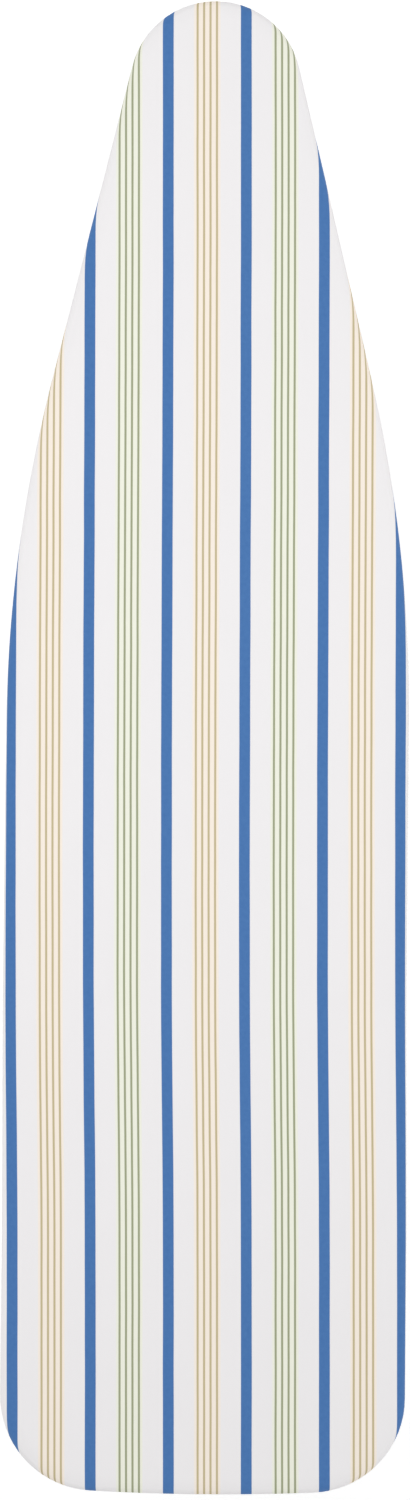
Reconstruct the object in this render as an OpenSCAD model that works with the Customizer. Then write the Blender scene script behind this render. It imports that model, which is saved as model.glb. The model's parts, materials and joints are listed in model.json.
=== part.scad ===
// Household ironing board on crossed tube legs, standing open at its full height.
// Millimetres. +X points to the nose, +Y to the left, +Z up. The floor is Z = 0, and
// the origin lies on the floor under the middle of the board.

/* [Board] */
// Length of the board over its cover
board_l = 1372; // [1200:1:1500]
// Width over the cover at the square end
board_w = 372.5; // [320:0.5:420]
// Height of the ironing surface above the floor
board_h = 914; // [780:1:940]
// Radius of the rounded nose
nose_r = 79; // [60:0.5:95]
// Direction that the nose's straight flank faces, in degrees from the nose
flank_angle = 76.3; // [74:0.1:80]
// Direction that the long side faces, in degrees from the nose
side_angle = 89.9; // [88:0.1:90]
// Radius of the shoulder between the flank and the side
shoulder_r = 1340; // [400:1:1600]
// Radius of the two corners at the square end
corner_r = 87.5; // [50:0.1:120]
// Radius of the shallow curve of the square end
tail_r = 2140; // [900:10:4000]

/* [Cover and pad] */
// Thickness of the cotton cover
cover_t = 1; // [0.8:0.1:2]
// Thickness of the foam pad
pad_t = 6; // [3:0.5:12]
// Gap between the rim's lower edge and the hem under it
hem_gap = 2.2; // [1:0.1:5]
// How far the hem reaches in under the board
hem_in = 45; // [20:1:55]
// Width of the elastic in the hem
elastic_w = 5; // [3:0.5:8]
// Thickness of the elastic
elastic_t = 2.5; // [1:0.1:4]

/* [Deck] */
// Thickness of the deck's steel sheet
deck_t = 0.8; // [0.6:0.1:1.5]
// Depth of the turned-down rim below the deck
rim_h = 21; // [14:0.5:23]
// Width of the lip that turns in at the rim's lower edge
lip_w = 8; // [4:0.5:15]
// How far the rim stands inside the cover
rim_inset = 3; // [2:0.5:6]
// Radius of the steam vents
vent_r = 4.5; // [2:0.5:8]
// Spacing of the steam vents along the board
vent_pitch_x = 30; // [24:1:60]
// Spacing of the steam vents across the board
vent_pitch_y = 40; // [24:1:60]

/* [Legs] */
// Length of each leg from its top pin to its foot bar
leg_l = 1050; // [1000:1:1150]
// Length of each leg from its top pin to the crossing
leg_upper = 430; // [380:1:470]
// Place of the fixed hinge along the board
hinge_x = -380; // [-440:1:-360]
// Distance of the top pins below the deck
pin_drop = 26.2; // [24:0.1:30]
// Radius of the leg tubes
tube_r = 11; // [9:0.5:12]
// Wall of the leg tubes
tube_wall = 1; // [0.8:0.1:2]
// Distance of the outer leg tubes from the middle
outer_y = 62; // [60:0.5:70]
// Distance of the inner leg tubes from the middle
inner_y = 34; // [33:0.5:36]
// Half the length of the foot bar under the nose
outer_foot_l = 150; // [110:1:165]
// Half the length of the foot bar under the square end
inner_foot_l = 170; // [120:1:178]
// Radius of the feet's end caps
cap_r = 13; // [12:0.5:16]
// Slope of the legs when they are folded, in degrees
fold_angle = 2.7; // [2.5:0.1:6]

/* [Height lock] */
// Radius of the guide rod
rod_r = 6; // [5:0.5:7]
// Tilt that jams the lock lever on the rod, in degrees
lock_tilt = 6; // [4:0.5:8]
// Reach of the lock lever to the side
lever_reach = 88; // [70:1:92]

/* [Clearances] */
// Radial play of a shaft in its bearing
run_gap = 0.05; // [0.03:0.01:0.09]
// Radial play of a pin in its seat
seat_gap = 0.02; // [0.01:0.01:0.04]
// Gap between faces that slide past each other
side_gap = 0.3; // [0.2:0.05:0.5]

/* [Hidden] */

$fn = 64;
eps = 0.01;

// Levels, from the ironing surface down.
pad_z = board_h - cover_t;
deck_z = pad_z - pad_t;
under_z = deck_z - deck_t;
rim_z = under_z - rim_h;
hem_z = rim_z - hem_gap - cover_t;
pin_z = under_z - pin_drop;

// Legs: both are the same length on each side of the crossing, so the top pins stay level.
cap_flat = 0.5;
foot_z = cap_r - cap_flat;
leg_angle = asin((pin_z - foot_z) / leg_l);
slide_x = hinge_x + 2 * leg_upper * cos(leg_angle);
slide_folded_x = hinge_x + 2 * leg_upper * cos(fold_angle);
cross_x = hinge_x + leg_upper * cos(leg_angle);
cross_z = pin_z - leg_upper * sin(leg_angle);
outer_foot_x = hinge_x + leg_l * cos(leg_angle);
inner_foot_x = slide_x - leg_l * cos(leg_angle);
tube_over = 14;
bolt_r = 4;
stretcher_r = 8;
outer_stretcher_at = 940;
inner_stretcher_at = 900;
cap_l = 28;
cap_end = 3;
plug_l = 6;
plug_head = 2;

// Crossing bolt with its nut, washers and sleeves.
bolt_head_r = 7.5;
bolt_head_h = 5;
bolt_over = 9;
nut_h = 6.5;
washer_r = 9;
washer_t = 2.5;
bush_r = 8;
inner_sleeve_r = 7;

// Brackets under the deck.
plate_t = 2;
bracket_z = under_z - plate_t;
ear_gap = 2;
ear_r = 12;
base_l = 56;
base_w = 50;
base_rivet_x = 20;
base_rivet_y = 20;
rod_cap_r = 7;
rod_cap_in = 5.5;
rod_cap_end = 1.5;
rivet_r = 2;
rivet_head_r = 4;
rivet_head_h = 1.5;
rib_w = 16;
rib_h = 9;
rib_t = 0.8;
rib_flange = 8;
rib_rivet_in = 12;
rib_y = 105;
rib_back_x = -board_l / 2 + 101;
rib_front_x = 300;
cross_rib_rear_x = -board_l / 2 + 71;
cross_rib_front_x = board_l / 2 - 96;
cross_rib_rear_l = 130;
cross_rib_front_l = 56;
vent_edge = 24;
vent_end = 28;
vent_gap = 2;
pad_gap = 0.2;

// Slide: places are counted from the slide pin.
block_back = 14;
block_front = 20;
block_y = inner_y - tube_r - 3;
block_z = 12;
pin_seat = 9;
pin_end_gap = 0.5;
pin_head_r = 7;
pin_over = 3;
screw_places = [[-7, 7], [13, -7]];
screw_in = 7;
screw_head_r = 3.8;
screw_head_h = 2;
strap_t = 2;
strap_y = 12;
wall_at = 54;
wall_t = 3;
wall_low = 17;
frame_side = 7;
neck_y = 14;

// Lock lever and the fixed grip: both arms reach to the right at the same height, clear
// of the elastic over them.
lever_at = 30;
lever_t = 3;
lever_half = 11;
lever_low = 13;
lever_neck_y = 24;
fulcrum_y = 18;
knuckle_r = 4.5;
lever_pin_r = 2.5;
lever_pin_low = 20;
lever_pin_head_r = 4.5;
lever_pin_head_h = 1.8;
arm_drop = 6;
arm_clear = 5.5;
arm_h = 14;
arm_high = min(pin_z - arm_drop, hem_z - elastic_t - arm_clear);
arm_low = arm_high - arm_h;
sleeve_start = 40;
sleeve_end = 3;
sleeve_round = 3;
sleeve_half = 2.5;
sleeve_skin = 2;

// Guide rod: its brackets stand clear of the slide at both ends of its way.
guide_t = 3;
guide_y = 15;
guide_base = 24;
guide_ear_r = 10;
guide_rivet_at = 14;
guide_rivet_y = 9;
open_stop = 1;
folded_stop = 9;
rear_guide_x = slide_x - block_back - open_stop - guide_t;
front_guide_x = slide_folded_x + wall_at + wall_t + folded_stop;
clip_t = 1.5;
clip_w = 3.5;
clip_gap = 0.2;
rod_over = 6;

// Coil spring between the lever and the front wall.
spring_r = 8.6;
spring_wire = 0.9;
spring_turns = 5;
spring_from = lever_at + 1.4;
spring_to = wall_at - 0.3;
spring_pitch = (spring_to - spring_from - 2 * spring_wire) / spring_turns;

steel_white = [0.86, 0.87, 0.88];
steel_silver = [0.68, 0.69, 0.71];
steel_grey = [0.62, 0.64, 0.66];
plastic_dark = [0.16, 0.16, 0.17];
plastic_grey = [0.42, 0.44, 0.47];
cloth_white = [0.93, 0.92, 0.92];
foam = [0.88, 0.86, 0.78];

// Outline of the board: arcs and straight lines that meet tangentially, so pulling every
// arc in by the same amount gives an evenly inset outline.
function facing(a) = [cos(a), sin(a)];
nose_c = [board_l / 2 - nose_r, 0];
flank_d = nose_c * facing(flank_angle) + nose_r;
side_d = [-board_l / 2, board_w / 2] * facing(side_angle);
turn = sin(side_angle - flank_angle);
shoulder_c = [
    (sin(side_angle) * (flank_d - shoulder_r) - sin(flank_angle) * (side_d - shoulder_r)) / turn,
    (cos(flank_angle) * (side_d - shoulder_r) - cos(side_angle) * (flank_d - shoulder_r)) / turn
];

// The end is a shallow arc. Each corner's arc touches the side and the end's arc from inside.
tail_c = [-board_l / 2 + tail_r, 0];
corner_out = side_d - corner_r - tail_c * facing(side_angle);
corner_back = sqrt((tail_r - corner_r) ^ 2 - corner_out ^ 2);
corner_c = tail_c + corner_out * facing(side_angle) + corner_back * facing(side_angle + 90);
tail_angle = atan2(corner_c[1], corner_c[0] - tail_c[0]);

tail_step = (180 - tail_angle) / 4;

function arc(c, r, from, to, steps) = [
    for (i = [0 : steps]) c + r * facing(from + (to - from) * i / steps)
];
function left_side(inset) = concat(
    arc(nose_c, nose_r - inset, 0, flank_angle, 20),
    arc(shoulder_c, shoulder_r - inset, flank_angle, side_angle, 6),
    arc(corner_c, corner_r - inset, side_angle, tail_angle, 16),
    arc(tail_c, tail_r - inset, tail_angle + tail_step, 180 - tail_step, 2)
);
function outline(inset) = let (half = left_side(inset), last = len(half) - 1) concat(
    half,
    [[-board_l / 2 + inset, 0]],
    [for (i = [last : -1 : 1]) [half[i][0], -half[i][1]]]
);

// Half the board's width at a place along it.
function half_width(x) =
    x > nose_c[0] + nose_r * cos(flank_angle) ? sqrt(max(0, nose_r ^ 2 - (x - nose_c[0]) ^ 2))
    : x > shoulder_c[0] + shoulder_r * cos(flank_angle)
    ? (flank_d - x * cos(flank_angle)) / sin(flank_angle)
    : x > shoulder_c[0] + shoulder_r * cos(side_angle)
    ? shoulder_c[1] + sqrt(shoulder_r ^ 2 - (x - shoulder_c[0]) ^ 2)
    : x > corner_c[0] + corner_r * cos(side_angle)
    ? (side_d - x * cos(side_angle)) / sin(side_angle)
    : corner_c[1] + sqrt(max(0, corner_r ^ 2 - (x - corner_c[0]) ^ 2));

module slab(inset, low, high) {
    translate([0, 0, low])
        linear_extrude(height = high - low)
            polygon(outline(inset));
}

module ring(outer, inner, low, high) {
    difference() {
        slab(outer, low, high);
        slab(inner, low - 1, high + 1);
    }
}

// Cylinder along Y between two distances from the middle.
module rod_y(r, from, to) {
    translate([0, to, 0])
        rotate([90, 0, 0])
            cylinder(r = r, h = to - from);
}

// Cylinder along X.
module rod_x(r, from, to) {
    translate([from, 0, 0])
        rotate([0, 90, 0])
            cylinder(r = r, h = to - from);
}

// A washer or sleeve along Y, with a hole.
module washer_y(r, hole, from, to) {
    difference() {
        rod_y(r, from, to);
        rod_y(hole, from - 1, to + 1);
    }
}

// The same thing on both sides of the middle.
module both_sides() {
    children();
    mirror([0, 1, 0])
        children();
}

// ---- Board ----

// Cotton cover: over the pad, down the edge and in under the rim.
module cover() {
    color(cloth_white)
        difference() {
            slab(0, hem_z, board_h);
            slab(cover_t, hem_z + cover_t, pad_z);
            slab(hem_in, hem_z - 1, hem_z + cover_t + 1);
        }
}

// Elastic that gathers the hem.
module cover_elastic() {
    color(cloth_white)
        ring(hem_in - elastic_w, hem_in, hem_z - elastic_t, hem_z);
}

module pad() {
    color(foam)
        slab(cover_t + pad_gap, deck_z, pad_z);
}

// Places of the rivets that hold the brackets and ribs to the deck.
rib_rivet_off = (rib_w + rib_flange) / 2;
rivets = concat(
    [for (sx = [-1, 1], sy = [-1, 1], sr = [-1, 1])
        [hinge_x + sx * base_rivet_x, sy * outer_y + sr * base_rivet_y]],
    [for (sy = [-1, 1]) [rear_guide_x - guide_rivet_at, sy * guide_rivet_y]],
    [for (sy = [-1, 1]) [front_guide_x + guide_t + guide_rivet_at, sy * guide_rivet_y]],
    [for (sy = [-1, 1], sf = [-1, 1], x = [rib_back_x + rib_rivet_in, rib_front_x - rib_rivet_in])
        [x, sy * rib_y + sf * rib_rivet_off]],
    [for (sy = [-1, 1], sf = [-1, 1])
        [cross_rib_rear_x + sf * rib_rivet_off, sy * (cross_rib_rear_l - rib_rivet_in)]],
    [for (sy = [-1, 1], sf = [-1, 1])
        [cross_rib_front_x + sf * rib_rivet_off, sy * (cross_rib_front_l - rib_rivet_in)]]
);
// The first ones in the list hold brackets, the rest hold ribs.
bracket_rivets = 12;

// Areas that take no vents: from and to along X, then along Y on each side of the middle.
function apart(x, y, box) = let (clear = vent_r + vent_gap)
    x < box[0] - clear || x > box[1] + clear
    || abs(y) < box[2] - clear || abs(y) > box[3] + clear;
rib_reach = rib_w / 2 + rib_flange;
kept_clear = [
    [hinge_x - base_l / 2, hinge_x + base_l / 2, outer_y - base_w / 2, outer_y + base_w / 2],
    [rear_guide_x - guide_base, rear_guide_x + guide_t, 0, guide_y],
    [front_guide_x, front_guide_x + guide_t + guide_base, 0, guide_y],
    [rib_back_x, rib_front_x, rib_y - rib_reach, rib_y + rib_reach],
    [cross_rib_rear_x - rib_reach, cross_rib_rear_x + rib_reach, 0, cross_rib_rear_l],
    [cross_rib_front_x - rib_reach, cross_rib_front_x + rib_reach, 0, cross_rib_front_l]
];
function vent_here(x, y) =
    abs(y) < half_width(x) - vent_edge
    && len([for (box = kept_clear) if (!apart(x, y, box)) 1]) == 0;
vent_cols = floor((board_l / 2 - vent_end) / vent_pitch_x);
vent_rows = floor(board_w / 2 / vent_pitch_y);

// Sheet-steel deck with steam vents in staggered rows.
module deck_panel() {
    color(steel_white)
        difference() {
            slab(rim_inset, under_z, deck_z);
            for (i = [-vent_cols : vent_cols], j = [-vent_rows - 1 : vent_rows]) {
                x = i * vent_pitch_x;
                y = (j + (i % 2 == 0 ? 0 : 0.5)) * vent_pitch_y;
                if (vent_here(x, y))
                    translate([x, y, under_z - 1])
                        cylinder(r = vent_r, h = deck_t + 2, $fn = 24);
            }
            for (p = rivets)
                translate([p[0], p[1], under_z - 1])
                    cylinder(r = rivet_r + seat_gap, h = deck_t + 2, $fn = 24);
        }
}

// Turned-down rim with a lip that stiffens its lower edge.
module rim() {
    color(steel_white)
        difference() {
            slab(rim_inset, rim_z, under_z);
            slab(rim_inset + deck_t, rim_z + deck_t, under_z + 1);
            slab(rim_inset + lip_w, rim_z - 1, rim_z + deck_t + 1);
        }
}

// Holes for all the rivets, through whatever lies under the deck.
module rivet_holes() {
    for (p = rivets)
        translate([p[0], p[1], bracket_z - 2])
            cylinder(r = rivet_r + seat_gap, h = plate_t + 3, $fn = 24);
}

// Hat-section stiffener along X, centred on Y = 0.
module rib_along(from, to) {
    w = rib_w / 2;
    difference() {
        union() {
            translate([from, -w, under_z - rib_h])
                cube([to - from, rib_w, rib_h]);
            translate([from, -w - rib_flange, under_z - rib_t])
                cube([to - from, rib_w + 2 * rib_flange, rib_t]);
        }
        translate([from - 1, -w + rib_t, under_z - rib_h + rib_t])
            cube([to - from + 2, rib_w - 2 * rib_t, rib_h]);
    }
}

module long_rib(side) {
    color(steel_white)
        difference() {
            translate([0, side * rib_y, 0])
                rib_along(rib_back_x, rib_front_x);
            rivet_holes();
        }
}

module rib_left() {
    long_rib(1);
}

module rib_right() {
    long_rib(-1);
}

module cross_rib(x, half) {
    color(steel_white)
        difference() {
            translate([x, 0, 0])
                rotate([0, 0, 90])
                    rib_along(-half, half);
            rivet_holes();
        }
}

module rib_front() {
    cross_rib(cross_rib_front_x, cross_rib_front_l);
}

module rib_rear() {
    cross_rib(cross_rib_rear_x, cross_rib_rear_l);
}

ear_in = outer_y - tube_r - ear_gap;
ear_out = outer_y + tube_r + ear_gap;
rod_end = ear_out + plate_t + rod_over;

// One ear of a hinge bracket, from the base down round the hinge rod.
module ear(from) {
    translate([hinge_x - ear_r, from, pin_z])
        cube([2 * ear_r, plate_t, bracket_z - pin_z + eps]);
    translate([hinge_x, 0, pin_z])
        rod_y(ear_r, from, from + plate_t);
}

module hinge_bracket(side) {
    color(steel_grey)
        difference() {
            mirror([0, side < 0 ? 1 : 0, 0])
                union() {
                    translate([hinge_x - base_l / 2, outer_y - base_w / 2, bracket_z])
                        cube([base_l, base_w, plate_t]);
                    ear(ear_in - plate_t);
                    ear(ear_out);
                }
            translate([hinge_x, 0, pin_z])
                rod_y(bolt_r + seat_gap, -rod_end, rod_end);
            rivet_holes();
        }
}

module hinge_bracket_left() {
    hinge_bracket(1);
}

module hinge_bracket_right() {
    hinge_bracket(-1);
}

// Rod that the outer leg hangs on.
module hinge_rod() {
    color(steel_grey)
        translate([hinge_x, 0, pin_z])
            rod_y(bolt_r, -rod_end, rod_end);
}

// Push-on caps at the hinge rod's ends.
module hinge_rod_caps() {
    color(plastic_dark)
        translate([hinge_x, 0, pin_z])
            both_sides()
                difference() {
                    rod_y(rod_cap_r, rod_end - rod_cap_in, rod_end + rod_cap_end);
                    rod_y(bolt_r + seat_gap, rod_end - rod_cap_in - 1, rod_end);
                }
}

// Rod that the slide runs on.
module guide_rod() {
    color(steel_grey)
        translate([0, 0, pin_z])
            rod_x(rod_r, rear_guide_x - rod_over, front_guide_x + guide_t + rod_over);
}

// Angle bracket that holds one end of the guide rod; its base points away from the slide.
module guide_bracket(x, away) {
    color(steel_grey)
        difference() {
            union() {
                translate([x, -guide_y, pin_z])
                    cube([guide_t, 2 * guide_y, bracket_z - pin_z + eps]);
                translate([0, 0, pin_z])
                    rod_x(guide_ear_r, x, x + guide_t);
                translate([away < 0 ? x - guide_base : x, -guide_y, bracket_z])
                    cube([guide_base + guide_t, 2 * guide_y, plate_t]);
            }
            translate([0, 0, pin_z])
                rod_x(rod_r + seat_gap, x - 1, x + guide_t + 1);
            rivet_holes();
        }
}

module guide_bracket_front() {
    guide_bracket(front_guide_x, 1);
}

module guide_bracket_rear() {
    guide_bracket(rear_guide_x, -1);
}

module clip(x) {
    translate([0, 0, pin_z])
        difference() {
            rod_x(rod_r + clip_w, x, x + clip_t);
            rod_x(rod_r + seat_gap, x - 1, x + clip_t + 1);
        }
}

// Push-on clips that stop the guide rod sliding out.
module guide_clips() {
    color(steel_grey) {
        clip(rear_guide_x - clip_t - clip_gap);
        clip(front_guide_x + guide_t + clip_gap);
    }
}

// Rivet with its head at the given level; the shank ends flush with the deck.
module rivet(x, y, seat) {
    translate([x, y, seat - rivet_head_h])
        cylinder(r = rivet_head_r, h = rivet_head_h, $fn = 32);
    translate([x, y, seat - rivet_head_h])
        cylinder(r = rivet_r, h = deck_z - seat + rivet_head_h, $fn = 24);
}

module deck_rivets() {
    color(steel_grey)
        for (i = [0 : len(rivets) - 1])
            rivet(rivets[i][0], rivets[i][1], i < bracket_rivets ? bracket_z : under_z - rib_t);
}

// ---- Legs ----

// Places a leg that is drawn along +Z from its top pin.
module as_outer() {
    translate([hinge_x, 0, pin_z])
        rotate([0, 90 + leg_angle, 0])
            children();
}

module as_inner() {
    translate([slide_x, 0, pin_z])
        rotate([0, -90 - leg_angle, 0])
            children();
}

// One leg tube, cross-drilled for its top pin and the crossing bolt, saddled on its foot bar.
module leg_tube(y) {
    color(steel_silver)
        difference() {
            translate([0, y, -tube_over])
                cylinder(r = tube_r, h = leg_l + tube_over);
            translate([0, y, -tube_over - 1])
                cylinder(r = tube_r - tube_wall, h = leg_l + tube_over + 2);
            rod_y(bolt_r + run_gap, y - tube_r - 1, y + tube_r + 1);
            translate([0, 0, leg_upper])
                rod_y(bolt_r + run_gap, y - tube_r - 1, y + tube_r + 1);
            translate([0, 0, leg_l])
                rod_y(tube_r + run_gap, y - tube_r - 1, y + tube_r + 1);
        }
}

// Plastic plug in the open top of a leg tube.
module leg_plug(y) {
    translate([0, y, -tube_over])
        cylinder(r = tube_r - tube_wall - run_gap, h = plug_l);
    translate([0, y, -tube_over - plug_head])
        cylinder(r = tube_r, h = plug_head);
}

// Cross tube between a leg's two tubes, saddled on them.
module stretcher(at, y) {
    color(steel_silver)
        translate([0, 0, at])
            difference() {
                washer_y(stretcher_r, stretcher_r - tube_wall, -y, y);
                both_sides()
                    translate([0, y, -2 * tube_r])
                        cylinder(r = tube_r + run_gap, h = 4 * tube_r);
            }
}

module foot_bar(x, half) {
    color(steel_silver)
        translate([x, 0, foot_z])
            washer_y(tube_r, tube_r - tube_wall, -half, half);
}

// End cap of a foot bar; a narrow flat meets the floor.
module foot_cap(x, half, side) {
    color(plastic_dark)
        difference() {
            translate([x, 0, foot_z])
                mirror([0, side < 0 ? 1 : 0, 0])
                    difference() {
                        rod_y(cap_r, half - cap_l, half + cap_end);
                        rod_y(tube_r + run_gap, half - cap_l - 1, half);
                    }
            translate([x - cap_r, -half - cap_l, -cap_r])
                cube([2 * cap_r, 2 * (half + cap_l), cap_r]);
        }
}

module outer_tube_left() {
    as_outer()
        leg_tube(outer_y);
}

module outer_tube_right() {
    as_outer()
        leg_tube(-outer_y);
}

module outer_plugs() {
    color(plastic_dark)
        as_outer() {
            leg_plug(outer_y);
            leg_plug(-outer_y);
        }
}

module outer_stretcher() {
    as_outer()
        stretcher(outer_stretcher_at, outer_y);
}

module outer_foot_bar() {
    foot_bar(outer_foot_x, outer_foot_l);
}

module outer_cap_left() {
    foot_cap(outer_foot_x, outer_foot_l, 1);
}

module outer_cap_right() {
    foot_cap(outer_foot_x, outer_foot_l, -1);
}

// Nylon washers between the outer leg and its hinge brackets.
module hinge_bushes() {
    color(plastic_grey)
        translate([hinge_x, 0, pin_z])
            both_sides() {
                washer_y(bush_r, bolt_r + run_gap, ear_in + side_gap, outer_y - tube_r);
                washer_y(bush_r, bolt_r + run_gap, outer_y + tube_r, ear_out - side_gap);
            }
}

bolt_seat = outer_y + tube_r + washer_t;

module at_cross() {
    translate([cross_x, 0, cross_z])
        children();
}

// Bolt that the two legs cross on.
module pivot_bolt() {
    color(steel_grey)
        at_cross() {
            rod_y(bolt_r, -bolt_seat, bolt_seat + bolt_over);
            translate([0, -bolt_seat, 0])
                rotate([90, 0, 0])
                    cylinder(r = bolt_head_r, h = bolt_head_h, $fn = 6);
        }
}

module pivot_nut() {
    color(steel_grey)
        at_cross()
            translate([0, bolt_seat + nut_h, 0])
                rotate([90, 0, 0])
                    difference() {
                        cylinder(r = bolt_head_r, h = nut_h, $fn = 6);
                        translate([0, 0, -1])
                            cylinder(r = bolt_r + seat_gap, h = nut_h + 2);
                    }
}

module pivot_washers() {
    color(steel_grey)
        at_cross()
            both_sides()
                washer_y(washer_r, bolt_r + run_gap, outer_y + tube_r, bolt_seat);
}

// Sleeves between the outer and the inner tubes.
module pivot_spacers() {
    color(plastic_grey)
        at_cross()
            both_sides()
                washer_y(bush_r, bolt_r + run_gap, inner_y + tube_r + side_gap, outer_y - tube_r);
}

// Sleeve between the two inner tubes.
module pivot_sleeve() {
    color(plastic_grey)
        at_cross()
            washer_y(inner_sleeve_r, bolt_r + run_gap, tube_r - inner_y, inner_y - tube_r);
}

module inner_tube_left() {
    as_inner()
        leg_tube(inner_y);
}

module inner_tube_right() {
    as_inner()
        leg_tube(-inner_y);
}

module inner_plugs() {
    color(plastic_dark)
        as_inner() {
            leg_plug(inner_y);
            leg_plug(-inner_y);
        }
}

module inner_stretcher() {
    as_inner()
        stretcher(inner_stretcher_at, inner_y);
}

module inner_foot_bar() {
    foot_bar(inner_foot_x, inner_foot_l);
}

module inner_cap_left() {
    foot_cap(inner_foot_x, inner_foot_l, 1);
}

module inner_cap_right() {
    foot_cap(inner_foot_x, inner_foot_l, -1);
}

// ---- Slide and height lock ----

module at_slide() {
    translate([slide_x, 0, pin_z])
        children();
}

// Moulded block that runs on the guide rod between the inner tubes.
module carriage_block() {
    color(plastic_dark)
        at_slide()
            difference() {
                translate([-block_back, -block_y, -block_z])
                    cube([block_back + block_front, 2 * block_y, 2 * block_z]);
                rod_x(rod_r + run_gap, -block_back - 1, block_front + 1);
                both_sides()
                    rod_y(bolt_r + seat_gap, pin_seat, block_y + 1);
                for (p = screw_places)
                    translate([p[0], p[1], block_z - screw_in - 1])
                        cylinder(r = rivet_r + seat_gap, h = screw_in + 2, $fn = 24);
            }
}

ear_l = wall_at + 1 - (lever_at - frame_side);

// Strip of steel over the block, with a front wall, the fixed grip arm and two ears
// for the lever's pin.
module carriage_frame() {
    color(steel_grey)
        at_slide()
            difference() {
                union() {
                    translate([-block_back, -strap_y, block_z])
                        cube([block_back + wall_at + wall_t, 2 * strap_y, strap_t]);
                    translate([wall_at, 0, 0])
                        rotate([90, 0, 90])
                            linear_extrude(height = wall_t)
                                polygon([
                                    [fulcrum_y + frame_side, -wall_low],
                                    [fulcrum_y + frame_side, block_z + strap_t],
                                    [-neck_y, block_z + strap_t],
                                    [-neck_y, arm_high - pin_z],
                                    [-lever_reach, arm_high - pin_z],
                                    [-lever_reach, arm_low - pin_z],
                                    [-neck_y, arm_low - pin_z],
                                    [-neck_y, -wall_low]
                                ]);
                    for (z = [block_z, -wall_low])
                        translate([lever_at - frame_side, strap_y - 1, z])
                            cube([ear_l, fulcrum_y + frame_side + 1 - strap_y, strap_t]);
                }
                rod_x(rod_r + run_gap, wall_at - 1, wall_at + wall_t + 1);
                translate([lever_at, fulcrum_y, -lever_pin_low])
                    cylinder(r = lever_pin_r + seat_gap, h = 2 * lever_pin_low);
                for (p = screw_places)
                    translate([p[0], p[1], block_z - 1])
                        cylinder(r = rivet_r + seat_gap, h = strap_t + 2, $fn = 24);
            }
}

module carriage_screws() {
    color(steel_grey)
        at_slide()
            for (p = screw_places)
                translate([p[0], p[1], 0]) {
                    translate([0, 0, block_z + strap_t])
                        cylinder(r = screw_head_r, h = screw_head_h, $fn = 32);
                    translate([0, 0, block_z - screw_in])
                        cylinder(r = rivet_r, h = screw_in + strap_t + 1, $fn = 24);
                }
}

// Headed pins that the inner tubes hang on.
module carriage_pins() {
    color(steel_grey)
        at_slide()
            both_sides() {
                rod_y(bolt_r, pin_seat + pin_end_gap, inner_y + tube_r + pin_over);
                rod_y(pin_head_r, inner_y + tube_r + side_gap, inner_y + tube_r + pin_over);
            }
}

// Nylon washers between the slide and the inner tubes.
module carriage_washers() {
    color(plastic_grey)
        at_slide()
            both_sides()
                washer_y(bush_r, bolt_r + run_gap, block_y, inner_y - tube_r - side_gap);
}

// Pin that the lock lever turns on.
module lever_pin() {
    color(steel_grey)
        at_slide()
            translate([lever_at, fulcrum_y, 0]) {
                translate([0, 0, -lever_pin_low])
                    cylinder(r = lever_pin_r, h = lever_pin_low + block_z + strap_t + 1);
                translate([0, 0, block_z + strap_t])
                    cylinder(r = lever_pin_head_r, h = lever_pin_head_h);
            }
}

// Moulded grip on an arm that reaches to the right, with a slot for the arm.
module arm_sleeve() {
    mid = (arm_low + arm_high) / 2 - pin_z;
    half = (arm_high - arm_low) / 2;
    difference() {
        hull()
            for (sx = [-1, 1], sz = [-1, 1])
                translate([sx * sleeve_half, 0, mid + sz * (half + sleeve_skin - sleeve_round)])
                    rotate([90, 0, 0])
                        translate([0, 0, sleeve_start])
                            cylinder(
                                r = sleeve_round,
                                h = lever_reach + sleeve_end - sleeve_start,
                                $fn = 32
                            );
        translate([-lever_t / 2, -lever_reach, mid - half])
            cube([lever_t, lever_reach, 2 * half]);
    }
}

module grip_sleeve() {
    color(plastic_dark)
        at_slide()
            translate([wall_at + wall_t / 2, 0, 0])
                arm_sleeve();
}

// Everything on the lever is turned about its pin by the tilt that jams it.
module tilted() {
    at_slide()
        translate([lever_at, fulcrum_y, 0])
            rotate([0, 0, -lock_tilt])
                translate([0, -fulcrum_y, 0])
                    children();
}

// Slack that the tilted lever's hole needs round the rod.
lever_hole = (rod_r + lever_t / 2 * sin(lock_tilt) + fulcrum_y * (1 - cos(lock_tilt)) + run_gap)
    / cos(lock_tilt);

// Lock lever: a steel plate on the rod that jams when it is tilted.
module lock_lever() {
    color(steel_grey)
        tilted()
            difference() {
                union() {
                    translate([-lever_t / 2, 0, 0])
                        rotate([90, 0, 90])
                            linear_extrude(height = lever_t)
                                polygon([
                                    [fulcrum_y, -lever_half],
                                    [fulcrum_y, lever_half],
                                    [-neck_y, lever_half],
                                    [-lever_neck_y, arm_high - pin_z],
                                    [-lever_reach, arm_high - pin_z],
                                    [-lever_reach, arm_low - pin_z],
                                    [-lever_neck_y, arm_low - pin_z],
                                    [-neck_y, -lever_low],
                                    [fulcrum_y - 6, -lever_low]
                                ]);
                    translate([0, fulcrum_y, -lever_low])
                        cylinder(r = knuckle_r, h = lever_low + lever_half);
                }
                rod_x(lever_hole, -2 * lever_t, 2 * lever_t);
                translate([0, fulcrum_y, -lever_pin_low])
                    cylinder(r = lever_pin_r + run_gap, h = 2 * lever_pin_low);
            }
}

module lever_sleeve() {
    color(plastic_dark)
        tilted()
            arm_sleeve();
}

// Coil spring on the rod that keeps the lever tilted. The wire's section is drawn as it is
// cut square to the coil's axis.
module lever_spring() {
    color(steel_grey)
        at_slide()
            translate([spring_from + spring_wire, 0, 0])
                rotate([0, 90, 0])
                    linear_extrude(
                        height = spring_pitch * spring_turns,
                        twist = -360 * spring_turns,
                        slices = 16 * spring_turns,
                        segments = 8
                    )
                        polygon([
                            for (a = [0 : 45 : 315])
                                (spring_r + spring_wire * cos(a))
                                    * facing(360 * spring_wire * sin(a) / spring_pitch)
                        ]);
}

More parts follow.
